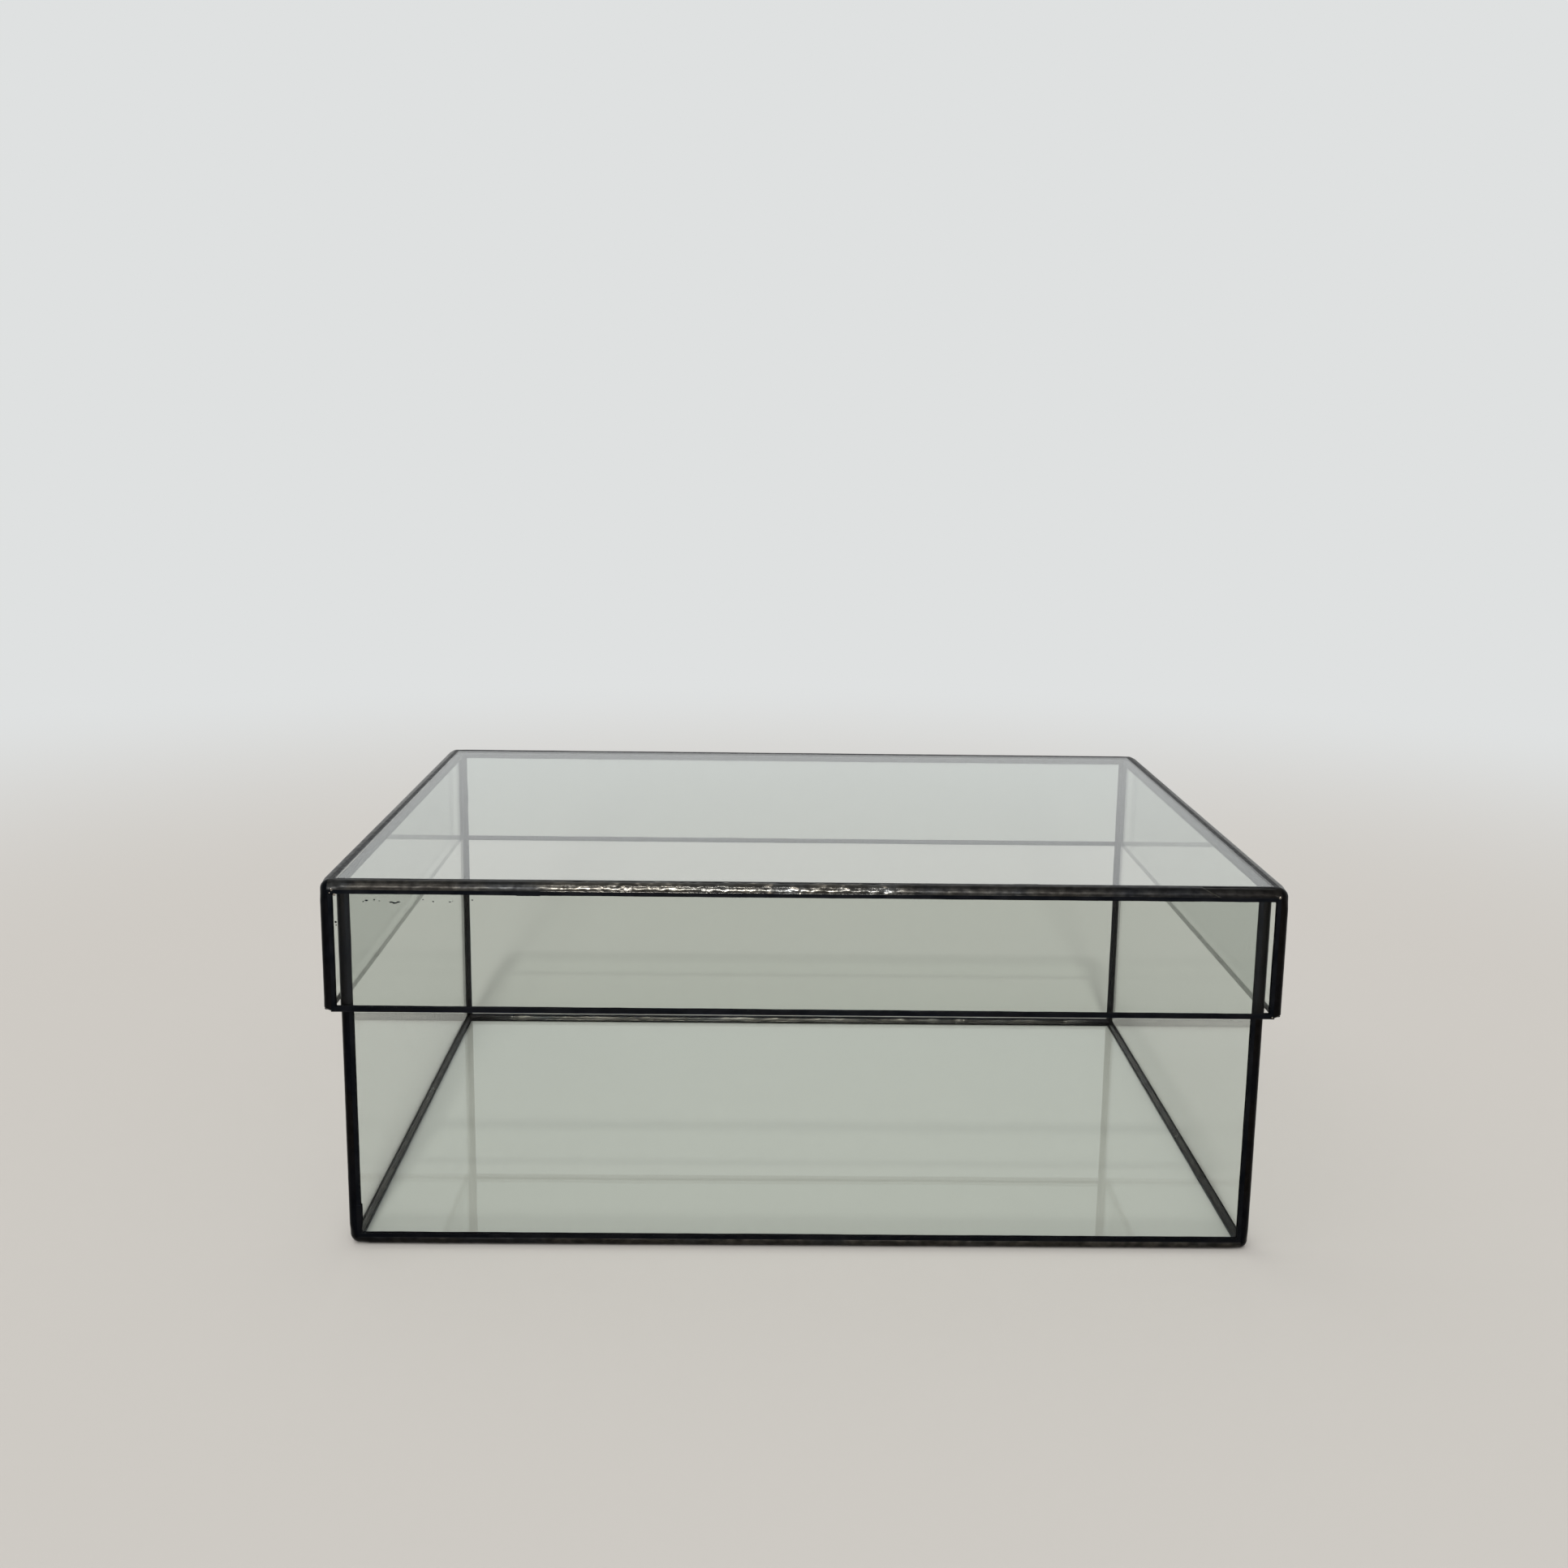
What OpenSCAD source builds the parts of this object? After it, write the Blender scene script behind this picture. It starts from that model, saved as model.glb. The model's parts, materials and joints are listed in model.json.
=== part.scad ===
// Butterfly display case: a clear glass box with a lift-off glass lid.
// Ten panes are edged in copper foil and soldered corner to corner, and every joint is blackened.
// The case stands on z = 0, its front faces -y, and the z axis runs through the lid's middle. Millimetres.
// Case and lid are the same open box of five panes. The lid is the second one, upside down.

/* [Case] */
// Width of the case over its walls, left to right
case_w = 356; // [200:1:600]
// Depth of the case over its walls, front to back
case_d = 269; // [150:1:450]
// Height of the case from the surface it stands on to its rim
case_h = 146.4; // [80:0.1:300]

/* [Lid] */
// Height of the lid's skirt, from the top of the lid down to the hem
skirt_h = 51.5; // [20:0.5:75]
// Free play between the case's walls and the skirt, at the front and at either end
lid_gap = 2.1; // [2:0.1:6]
// How much more play there is behind the case than in front of it
back_room = 4; // [0:0.5:10]

/* [Glass and foil] */
// Thickness of the panes
glass_t = 2.8; // [2:0.1:6]
// Thickness of the copper foil with its tinning
foil_t = 0.15; // [0.1:0.01:0.3]
// How far the foil laps from a pane's edge onto each of its faces
foil_lap = 1.75; // [1:0.05:2.2]

/* [Solder] */
// How far the outer bead stands fuller than a plain quarter round
bead_crown = 0.37; // [0.1:0.01:0.8]
// How far the inner fillets stop short of the foil's edge
fillet_margin = 0.35; // [0.2:0.05:0.6]
// Height of the solder along the free edges, on the case's rim and on the lid's hem
rim_bead_h = 0.3; // [0.2:0.05:1]

/* [Hidden] */

// Colours: clear float glass with a grey-green tint, blackened foil and solder
glass_colour = [0.78, 0.86, 0.83, 0.3];
foil_colour = [0.13, 0.13, 0.14];
solder_colour = [0.2, 0.2, 0.21];

// Thickness of a pane with its foil, which is also the side of the square that a seam fills
foiled_t = glass_t + 2 * foil_t;
// Radius of an outer bead, round the line where the panes' inner corners meet
bead_r = foiled_t + bead_crown;
// Width of an inner fillet on each pane
fillet = foil_lap - fillet_margin;
// A fillet's hollow is an arc round a point this far from both panes
fillet_centre = 1.5 * fillet;
fillet_arc_r = norm([fillet_centre, fillet_centre - fillet]);
// How far past a foil's faces its window is cut
cut = 1;

// Quarter turns from the front to each side, anticlockwise seen from above
FRONT = 0;
RIGHT = 1;
BACK = 2;
LEFT = 3;

// Outer sizes of the two boxes: width, depth, and height from the closed side to the free edge
case_box = [case_w, case_d, case_h];
lid_over = 2 * (lid_gap + foiled_t);
lid_box = [case_w + lid_over, case_d + lid_over + back_room, skirt_h];

// The rim meets the top pane's bare glass, unless the foil's lap reaches over the rim
lap_on_rim = foil_t + foil_lap > lid_gap;
lid_top = case_h + foiled_t - (lap_on_rim ? 0 : foil_t);

// Length of a box along one side, and the distance across it
function along(box, side) = side % 2 == 0 ? box.x : box.y;
function across(box, side) = side % 2 == 0 ? box.y : box.x;

// Foiled size of a box's closed side and of one wall, length first, thickness last
function floor_size(box) = [box.x - 2 * foiled_t, box.y - 2 * foiled_t, foiled_t];
function wall_size(box, side) = [along(box, side) - 2 * foiled_t, box.z - foiled_t - rim_bead_h, foiled_t];

// Puts a child that lies flat on z = 0 where the closed side's pane goes
module as_floor() {
    translate([0, 0, foiled_t / 2]) children();
}

// Stands a flat child up as the wall on one side, with its foot on the foiled floor
module as_wall(box, side) {
    rotate(90 * side)
        translate([0, -across(box, side) / 2 + foiled_t / 2, foiled_t + wall_size(box, side).y / 2])
            rotate([90, 0, 0]) children();
}

// Moves the case forwards under the lid, so that its extra play is all behind it
module as_case() {
    translate([0, -back_room / 2, 0]) children();
}

// Hangs a box upside down at the top of the lid
module as_lid() {
    translate([0, 0, lid_top]) mirror([0, 0, 1]) children();
}

// A pane inside its foil, centred on the origin, thickness along z
module pane(size) {
    color(glass_colour) cube(size - 2 * foil_t * [1, 1, 1], center = true);
}

// The foil round that pane's four edges, lapping onto both faces
module foil(size) {
    lap = 2 * (foil_t + foil_lap);
    color(foil_colour) difference() {
        cube(size, center = true);
        cube(size - 2 * foil_t * [1, 1, 1], center = true);
        cube([size.x - lap, size.y - lap, size.z + 2 * cut], center = true);
    }
}

// Section of an outer bead: the square between two panes, rounded about their inner corner
module bead_section() {
    intersection() {
        translate([-foiled_t, -foiled_t]) square(foiled_t);
        circle(r = bead_r, $fn = 96);
    }
}

// Section of an inner fillet: a corner filled up to a hollow arc
module fillet_section() {
    difference() {
        square(fillet);
        translate([fillet_centre, fillet_centre]) circle(r = fillet_arc_r, $fn = 96);
    }
}

// Section of the solder along a free edge: flat on top, with sloping sides
module rim_section() {
    half = foiled_t / 2;
    polygon([[-half, 0], [half, 0], [half - rim_bead_h, rim_bead_h], [rim_bead_h - half, rim_bead_h]]);
}

// Runs a section along x, centred, with the section's y upwards
module run(length) {
    rotate([90, 0, 90]) linear_extrude(height = length, center = true) children();
}

// Seam between the closed side and one wall: outer bead and inner fillet
module floor_seam(box, side) {
    inner_corner = [0, -across(box, side) / 2 + foiled_t, foiled_t];
    length = along(box, side) - 2 * foiled_t;
    color(solder_colour) rotate(90 * side) translate(inner_corner) {
        run(length) bead_section();
        run(length - 2 * fillet) fillet_section();
    }
}

// Seam between two walls, at the corner that lies before the given side, seen from above.
// The outer bead ends in a ball at the closed side and flush with the free edge.
module corner_seam(box, side) {
    inner_corner = [-along(box, side) / 2 + foiled_t, -across(box, side) / 2 + foiled_t, foiled_t];
    color(solder_colour) rotate(90 * side) translate(inner_corner) {
        linear_extrude(height = box.z - foiled_t) bead_section();
        intersection() {
            translate(-foiled_t * [1, 1, 1]) cube(foiled_t);
            sphere(r = bead_r, $fn = 96);
        }
        linear_extrude(height = box.z - foiled_t - rim_bead_h) fillet_section();
    }
}

// Solder along the free edge of one wall, between the corner seams
module rim_bead(box, side) {
    color(solder_colour) rotate(90 * side)
        translate([0, -across(box, side) / 2 + foiled_t / 2, box.z - rim_bead_h])
            run(along(box, side) - 2 * foiled_t) rim_section();
}

// Panes of the case
module base_pane() { as_case() as_floor() pane(floor_size(case_box)); }
module case_front_pane() { as_case() as_wall(case_box, FRONT) pane(wall_size(case_box, FRONT)); }
module case_right_pane() { as_case() as_wall(case_box, RIGHT) pane(wall_size(case_box, RIGHT)); }
module case_back_pane() { as_case() as_wall(case_box, BACK) pane(wall_size(case_box, BACK)); }
module case_left_pane() { as_case() as_wall(case_box, LEFT) pane(wall_size(case_box, LEFT)); }

// Foil of the case
module base_foil() { as_case() as_floor() foil(floor_size(case_box)); }
module case_front_foil() { as_case() as_wall(case_box, FRONT) foil(wall_size(case_box, FRONT)); }
module case_right_foil() { as_case() as_wall(case_box, RIGHT) foil(wall_size(case_box, RIGHT)); }
module case_back_foil() { as_case() as_wall(case_box, BACK) foil(wall_size(case_box, BACK)); }
module case_left_foil() { as_case() as_wall(case_box, LEFT) foil(wall_size(case_box, LEFT)); }

// Seams of the case: round the base, then up the four corners, then along the rim
module base_front_seam() { as_case() floor_seam(case_box, FRONT); }
module base_right_seam() { as_case() floor_seam(case_box, RIGHT); }
module base_back_seam() { as_case() floor_seam(case_box, BACK); }
module base_left_seam() { as_case() floor_seam(case_box, LEFT); }
module case_front_left_seam() { as_case() corner_seam(case_box, FRONT); }
module case_front_right_seam() { as_case() corner_seam(case_box, RIGHT); }
module case_back_right_seam() { as_case() corner_seam(case_box, BACK); }
module case_back_left_seam() { as_case() corner_seam(case_box, LEFT); }
module case_front_rim() { as_case() rim_bead(case_box, FRONT); }
module case_right_rim() { as_case() rim_bead(case_box, RIGHT); }
module case_back_rim() { as_case() rim_bead(case_box, BACK); }
module case_left_rim() { as_case() rim_bead(case_box, LEFT); }

// Panes of the lid
module lid_top_pane() { as_lid() as_floor() pane(floor_size(lid_box)); }
module lid_front_pane() { as_lid() as_wall(lid_box, FRONT) pane(wall_size(lid_box, FRONT)); }
module lid_right_pane() { as_lid() as_wall(lid_box, RIGHT) pane(wall_size(lid_box, RIGHT)); }
module lid_back_pane() { as_lid() as_wall(lid_box, BACK) pane(wall_size(lid_box, BACK)); }
module lid_left_pane() { as_lid() as_wall(lid_box, LEFT) pane(wall_size(lid_box, LEFT)); }

// Foil of the lid
module lid_top_foil() { as_lid() as_floor() foil(floor_size(lid_box)); }
module lid_front_foil() { as_lid() as_wall(lid_box, FRONT) foil(wall_size(lid_box, FRONT)); }
module lid_right_foil() { as_lid() as_wall(lid_box, RIGHT) foil(wall_size(lid_box, RIGHT)); }
module lid_back_foil() { as_lid() as_wall(lid_box, BACK) foil(wall_size(lid_box, BACK)); }
module lid_left_foil() { as_lid() as_wall(lid_box, LEFT) foil(wall_size(lid_box, LEFT)); }

// Seams of the lid: round the top, then down the four corners, then along the hem
module lid_top_front_seam() { as_lid() floor_seam(lid_box, FRONT); }
module lid_top_right_seam() { as_lid() floor_seam(lid_box, RIGHT); }
module lid_top_back_seam() { as_lid() floor_seam(lid_box, BACK); }
module lid_top_left_seam() { as_lid() floor_seam(lid_box, LEFT); }
module lid_front_left_seam() { as_lid() corner_seam(lid_box, FRONT); }
module lid_front_right_seam() { as_lid() corner_seam(lid_box, RIGHT); }
module lid_back_right_seam() { as_lid() corner_seam(lid_box, BACK); }
module lid_back_left_seam() { as_lid() corner_seam(lid_box, LEFT); }
module lid_front_hem() { as_lid() rim_bead(lid_box, FRONT); }
module lid_right_hem() { as_lid() rim_bead(lid_box, RIGHT); }
module lid_back_hem() { as_lid() rim_bead(lid_box, BACK); }
module lid_left_hem() { as_lid() rim_bead(lid_box, LEFT); }

base_pane();
case_front_pane();
case_right_pane();
case_back_pane();
case_left_pane();
base_foil();
case_front_foil();
case_right_foil();
case_back_foil();
case_left_foil();
base_front_seam();
base_right_seam();
base_back_seam();
base_left_seam();
case_front_left_seam();
case_front_right_seam();
case_back_right_seam();
case_back_left_seam();
case_front_rim();
case_right_rim();
case_back_rim();
case_left_rim();
lid_top_pane();
lid_front_pane();
lid_right_pane();
lid_back_pane();
lid_left_pane();
lid_top_foil();
lid_front_foil();
lid_right_foil();
lid_back_foil();
lid_left_foil();
lid_top_front_seam();
lid_top_right_seam();
lid_top_back_seam();
lid_top_left_seam();
lid_front_left_seam();
lid_front_right_seam();
lid_back_right_seam();
lid_back_left_seam();
lid_front_hem();
lid_right_hem();
lid_back_hem();
lid_left_hem();
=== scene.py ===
# %% [markdown]
# # A copper-foil glass display case
#
# This lesson dresses a clear glass display case with a lift-off glass lid. The case is made as
# stained-glass workers make a box: every pane gets a strip of copper foil folded round its edges,
# the foiled panes are set corner to corner, solder is run along every joint, and a black patina
# turns foil and solder dark. So there are three finishes to get right, glass, foil and solder,
# and most of the work goes into the thin black lines, because they are all that draws the object.

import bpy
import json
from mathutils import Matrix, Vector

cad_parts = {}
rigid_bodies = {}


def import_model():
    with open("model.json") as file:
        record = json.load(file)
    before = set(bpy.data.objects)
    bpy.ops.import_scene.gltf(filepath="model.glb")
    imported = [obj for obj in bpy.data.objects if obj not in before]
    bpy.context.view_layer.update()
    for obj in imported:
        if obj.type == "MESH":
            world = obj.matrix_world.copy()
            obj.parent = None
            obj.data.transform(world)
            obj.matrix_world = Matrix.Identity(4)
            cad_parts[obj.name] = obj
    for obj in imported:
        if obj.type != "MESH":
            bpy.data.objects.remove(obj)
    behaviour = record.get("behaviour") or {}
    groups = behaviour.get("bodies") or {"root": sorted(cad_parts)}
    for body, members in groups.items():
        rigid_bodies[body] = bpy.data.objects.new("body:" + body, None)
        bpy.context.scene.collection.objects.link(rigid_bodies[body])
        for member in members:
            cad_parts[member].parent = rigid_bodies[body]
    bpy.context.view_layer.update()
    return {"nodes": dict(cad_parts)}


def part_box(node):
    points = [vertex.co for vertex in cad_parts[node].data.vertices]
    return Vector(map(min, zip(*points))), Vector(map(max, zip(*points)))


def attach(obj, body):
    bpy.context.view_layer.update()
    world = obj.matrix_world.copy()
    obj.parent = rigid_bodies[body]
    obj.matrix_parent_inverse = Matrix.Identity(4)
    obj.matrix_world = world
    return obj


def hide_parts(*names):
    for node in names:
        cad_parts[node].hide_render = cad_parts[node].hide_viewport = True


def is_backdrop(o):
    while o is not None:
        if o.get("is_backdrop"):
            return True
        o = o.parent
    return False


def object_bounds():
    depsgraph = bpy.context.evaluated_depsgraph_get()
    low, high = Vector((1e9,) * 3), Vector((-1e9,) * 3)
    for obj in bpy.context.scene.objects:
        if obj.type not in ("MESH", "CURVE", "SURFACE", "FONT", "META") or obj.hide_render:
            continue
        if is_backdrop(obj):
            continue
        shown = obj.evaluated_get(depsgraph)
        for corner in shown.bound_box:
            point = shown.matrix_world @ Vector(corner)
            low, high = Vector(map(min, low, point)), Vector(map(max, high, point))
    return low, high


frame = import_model()

# %% Tools and units
import json
import math

import bmesh
import bpy
import numpy as np
from mathutils import Matrix, Vector, noise

MM = 0.001
scene = bpy.context.scene
print("Blender", bpy.app.version_string)

# %% [markdown]
# ## The camera
#
# The camera stands some 160 mm higher than the lid and 640 mm in front of the case. Its place,
# turn and lens were worked out from the straight edges of the object, so that the edges of the
# model fall on the edges in the picture. It is made first, because every later choice of size
# and shine is judged through it.

# %% Make the camera
# The width of the picture and the focal length of the lens, both in pixels.
PICTURE = 1932.0
FOCAL = 2136.7
camera_data = bpy.data.cameras.new("viewpoint")
camera_data.sensor_width = 36.0
camera_data.lens = camera_data.sensor_width * FOCAL / PICTURE
camera = bpy.data.objects.new("viewpoint", camera_data)
scene.collection.objects.link(camera)
yaw = Matrix.Rotation(math.radians(-0.830), 4, "Z")
pitch = Matrix.Rotation(math.radians(-11.223), 4, "X")
roll = Matrix.Rotation(math.radians(-0.739), 4, "Y")
upright = Matrix.Rotation(math.radians(90.0), 4, "X")
place = Matrix.Translation(Vector((-18.1, -773.6, 313.5)) * MM)
camera.matrix_world = place @ yaw @ pitch @ roll @ upright
scene.camera = camera
print("lens in mm:", round(camera_data.lens, 2))

# %% [markdown]
# ## Colours, nodes and meshes
#
# Colours are written as sRGB hex values, as a paint program shows them, and one function turns
# them to the linear numbers that Blender's shaders use. Another small function adds a node, sets
# its options and wires its inputs, so that each tree below reads as a list of steps. An input may
# go by its number: a Map Range takes the value as 0, its lowest and highest as 1 and 2, and what
# these two become as 3 and 4. A last function turns an edited mesh into an object.

# %% Helpers for colours, node trees and meshes
def linear(hex_code):
    """An sRGB colour such as 1a2b3c as linear red, green, blue and alpha."""
    parts = [int(hex_code[i:i + 2], 16) / 255 for i in (0, 2, 4)]
    curve = [p / 12.92 if p <= 0.04045 else ((p + 0.055) / 1.055) ** 2.4 for p in parts]
    return (*curve, 1.0)


def add(tree, kind, wires=None, **options):
    """Add one node. Options set its properties, wires fill its inputs by name or number."""
    made = tree.nodes.new(kind)
    for key, value in options.items():
        setattr(made, key, value)
    for key, value in (wires or {}).items():
        if isinstance(value, bpy.types.NodeSocket):
            tree.links.new(value, made.inputs[key])
        else:
            made.inputs[key].default_value = value
    return made


def new_material(name):
    """An empty material and its tree."""
    material = bpy.data.materials.new(name)
    material.use_nodes = True
    material.node_tree.nodes.clear()
    return material, material.node_tree


def ramp(made, *stops):
    """Give a colour ramp its stops, each a position and a colour."""
    elements = made.color_ramp.elements
    while len(elements) > 1:
        elements.remove(elements[-1])
    elements[0].position, elements[0].color = stops[0]
    for position, colour in stops[1:]:
        elements.new(position).color = colour
    return made


def to_object(name, mesh, material):
    """Turn an edited mesh into an object in the scene with one material."""
    data = bpy.data.meshes.new(name)
    mesh.to_mesh(data)
    mesh.free()
    data.materials.append(material)
    made = bpy.data.objects.new(name, data)
    scene.collection.objects.link(made)
    return made


print("black patina in linear light:", [round(v, 4) for v in linear("1c1c1d")])

# %% [markdown]
# ## Glass
#
# The panes are picture-frame float glass about 3 mm thick. Float glass is poured on molten tin,
# so it is smooth and almost flat, and a trace of iron gives it a faint green-grey cast that shows
# where several panes lie behind each other. The panes are real slabs with two faces, so each one
# bends and mirrors light on both faces, as the real pane does, and the lid seen at a low angle
# mirrors the room and turns what is behind it to grey. Light that only passes through on its way
# to something else is let straight through, which gives clean shadows without noise.

# %% Make the glass
glass, tree = new_material("clear_float_glass")
position = add(tree, "ShaderNodeTexCoord").outputs["Object"]
# The slow waves of float glass are about 60 mm long and far too shallow to feel.
waves = add(tree, "ShaderNodeTexNoise", {
    "Vector": position, "Scale": 1 / (60 * MM), "Detail": 1.0})
relief = add(tree, "ShaderNodeBump", {
    "Height": waves.outputs[0], "Strength": 0.02, "Distance": 1 * MM})
pane = add(tree, "ShaderNodeBsdfPrincipled", {
    "Base Color": linear("f1f4f2"),
    "Roughness": 0.0,
    "IOR": 1.50,
    "Specular Tint": linear("6c6c6c"),
    "Transmission Weight": 1.0,
    "Normal": relief.outputs[0],
})
clear = add(tree, "ShaderNodeBsdfTransparent", {"Color": linear("fdfefd")})
ray = add(tree, "ShaderNodeLightPath")
either = add(tree, "ShaderNodeMath", {
    0: ray.outputs["Is Shadow Ray"], 1: ray.outputs["Is Diffuse Ray"]}, operation="MAXIMUM")
blend = add(tree, "ShaderNodeMixShader", {
    0: either.outputs[0], 1: pane.outputs[0], 2: clear.outputs[0]})
add(tree, "ShaderNodeOutputMaterial", {"Surface": blend.outputs[0]})
print("glass:", glass.name)

# %% [markdown]
# ## Black patina on solder
#
# The seams are lead-tin solder, run hot along the joint, so the metal froze in low ripples. The
# black patina is a wash of copper salts that darkens the skin of the solder. It never takes
# evenly: the colour drifts between blue-black and brown-black, and on rubbed stretches the crests
# show through grey. That grey is partly real wear and partly painted sheen, laid on the seams and
# stretches that catch the lamps. The mesh carries two numbers for this, crest for how high a point
# lies in the ripples and one for how much a stretch is rubbed and painted with sheen.

# %% Make the patinated solder
solder, tree = new_material("black_patina_solder")
position = add(tree, "ShaderNodeTexCoord").outputs["Object"]
crest = add(tree, "ShaderNodeAttribute", attribute_name="crest").outputs["Fac"]
wear_and_sheen = add(tree, "ShaderNodeAttribute", attribute_name="wear_and_sheen").outputs["Fac"]
# The tint drifts over about 25 mm, and the dark mottling is about 3 mm across.
drift = add(tree, "ShaderNodeTexNoise", {
    "Vector": position, "Scale": 1 / (25 * MM), "Detail": 2.0})
mottle = add(tree, "ShaderNodeTexNoise", {
    "Vector": position, "Scale": 1 / (3 * MM), "Detail": 4.0})
full = ramp(add(tree, "ShaderNodeValToRGB", {0: drift.outputs[0]}),
            (0.35, linear("0f1116")), (0.50, linear("131316")), (0.65, linear("171514")))
# The grey of thinned patina, used both for wear and for painted sheen.
thin = ramp(add(tree, "ShaderNodeValToRGB", {0: drift.outputs[0]}),
            (0.35, linear("4f4f4d")), (0.50, linear("59564f")), (0.65, linear("4e4b46")))
dark = ramp(add(tree, "ShaderNodeValToRGB", {0: mottle.outputs[0]}),
            (0.35, linear("c4c4c4")), (0.62, linear("ffffff")))
# Troughs keep more of the black than crests do.
kept = add(tree, "ShaderNodeMapRange", {0: crest, 1: 0.15, 2: 0.75, 3: 0.45, 4: 1.0})
thinned_and_sheen = add(tree, "ShaderNodeMath", {0: wear_and_sheen, 1: kept.outputs[0]}, operation="MULTIPLY")
tint = add(tree, "ShaderNodeMix", {0: thinned_and_sheen.outputs[0], 6: full.outputs[0], 7: thin.outputs[0]},
           data_type="RGBA")
patina = add(tree, "ShaderNodeMix", {0: 1.0, 6: tint.outputs[2], 7: dark.outputs[0]},
             data_type="RGBA", blend_type="MULTIPLY")
# Bare metal is painted on the crests of a much rubbed stretch, as real wear and as painted glints
# where the crests catch the lamps.
most = add(tree, "ShaderNodeMath", {0: wear_and_sheen, 1: 4.0}, operation="POWER")
rub_and_sheen = add(tree, "ShaderNodeMath", {0: crest, 1: most.outputs[0]}, operation="MULTIPLY")
bare_and_glint = add(tree, "ShaderNodeMapRange", {0: rub_and_sheen.outputs[0], 1: 0.72, 2: 1.0, 3: 0.0, 4: 0.6},
            interpolation_type="SMOOTHSTEP")
skin = add(tree, "ShaderNodeMix", {0: bare_and_glint.outputs[0], 6: patina.outputs[2], 7: linear("a0978a")},
           data_type="RGBA")
dulled = add(tree, "ShaderNodeMapRange", {0: mottle.outputs[0], 1: 0.3, 2: 0.7, 3: 0.42, 4: 0.30})
polish = add(tree, "ShaderNodeMapRange", {0: wear_and_sheen, 1: 0.6, 2: 1.0})
gloss = add(tree, "ShaderNodeMix", {0: polish.outputs[0], 2: dulled.outputs[0], 3: 0.22})
# The frozen skin has a grain a little finer than a millimetre.
grain = add(tree, "ShaderNodeTexNoise", {
    "Vector": position, "Scale": 1 / (0.9 * MM), "Detail": 3.0})
relief = add(tree, "ShaderNodeBump", {
    "Height": grain.outputs[0], "Strength": 0.5, "Distance": 0.06 * MM})
metal = add(tree, "ShaderNodeBsdfPrincipled", {
    "Base Color": skin.outputs[2],
    "Metallic": 1.0,
    "Specular Tint": linear("f0f0f0"),
    "Roughness": gloss.outputs[0],
    "Normal": relief.outputs[0],
})
add(tree, "ShaderNodeOutputMaterial", {"Surface": metal.outputs[0]})
print("solder:", solder.name)

# %% [markdown]
# ## Black patina on copper foil
#
# The foil is a sticky copper tape 6 mm wide. What shows of it is the lap on the face of a pane,
# a flat strip burnished down with a stick and tinned thinly. It takes the patina more evenly than
# the thick solder, so it is the blackest part of the object, with a low and cloudy sheen.

# %% Make the patinated foil
foil, tree = new_material("black_patina_foil")
position = add(tree, "ShaderNodeTexCoord").outputs["Object"]
cloud = add(tree, "ShaderNodeTexNoise", {"Vector": position, "Scale": 1 / (9 * MM), "Detail": 3.0})
shade = ramp(add(tree, "ShaderNodeValToRGB", {0: cloud.outputs[0]}),
             (0.35, linear("0d0f13")), (0.65, linear("17181b")))
rub = add(tree, "ShaderNodeTexNoise", {
    "Vector": position, "Scale": 1 / (2.5 * MM), "Detail": 3.0})
sheen = add(tree, "ShaderNodeMapRange", {0: rub.outputs[0], 1: 0.3, 2: 0.7, 3: 0.30, 4: 0.46})
# The stick leaves shallow dents two or three millimetres long.
relief = add(tree, "ShaderNodeBump", {
    "Height": rub.outputs[0], "Strength": 0.4, "Distance": 0.05 * MM})
metal = add(tree, "ShaderNodeBsdfPrincipled", {
    "Base Color": shade.outputs[0],
    "Metallic": 1.0,
    "Specular Tint": linear("e0e0e0"),
    "Roughness": sheen.outputs[0],
    "Normal": relief.outputs[0],
})
add(tree, "ShaderNodeOutputMaterial", {"Surface": metal.outputs[0]})
print("foil:", foil.name)

# %% [markdown]
# ## The panes
#
# The ten panes are flat slabs in the model already, with the right thickness and place. A slab
# of glass has no other shape, and its edges are hidden in the foil, so the model's own panes stay
# and only take the glass finish.

# %% Give the panes their glass
pane_names = [name for name in frame["nodes"] if name.endswith("_pane")]
for name in pane_names:
    shown = bpy.data.objects[name]
    for place in shown.material_slots:
        place.material = glass
print("panes:", len(pane_names))

# %% [markdown]
# ## The foil wraps
#
# A strip of foil runs once round each pane, folded over the edge with a lap on both faces. It is
# cut by hand, so the lap is not quite even, and where the strip's end laps over its start the
# fold is a little wider and thicker. Each wrap is one closed skin: a U-shaped section is carried
# round the pane's outline, with a true mitre at each corner, so no face is left open.

# %% Sizes of the foil, read from the model
pane_low, pane_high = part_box("base_pane")
glass_t = pane_high[2] - pane_low[2]
foil_low, foil_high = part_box("base_foil")
lap_plane = foil_high[2] - pane_high[2]
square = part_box("case_front_pane")[0][2] - lap_plane - foil_low[2]
# The lap's width, how high it stands on the glass, and how far the foil stands off the edge.
LAP = 1.75 * MM
LAP_RISE = 0.07 * MM
FOIL_EDGE = 0.13 * MM
# How far a hidden face reaches into what it touches.
BITE = 0.02 * MM
# A hand-cut lap wanders: how long the waves are and how deep, in millimetres, and a row of noise.
WANDERS = [(14, 0.09, 0.3), (4, 0.03, 7.1)]
# How much thicker the wrap is where the strip's end lies over its start.
TUCK_RISE = 0.04 * MM
SPACING = 1.2 * MM
print("glass, foil plane and seam square in mm:",
      [round(size / MM, 2) for size in (glass_t, lap_plane, square)])


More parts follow.
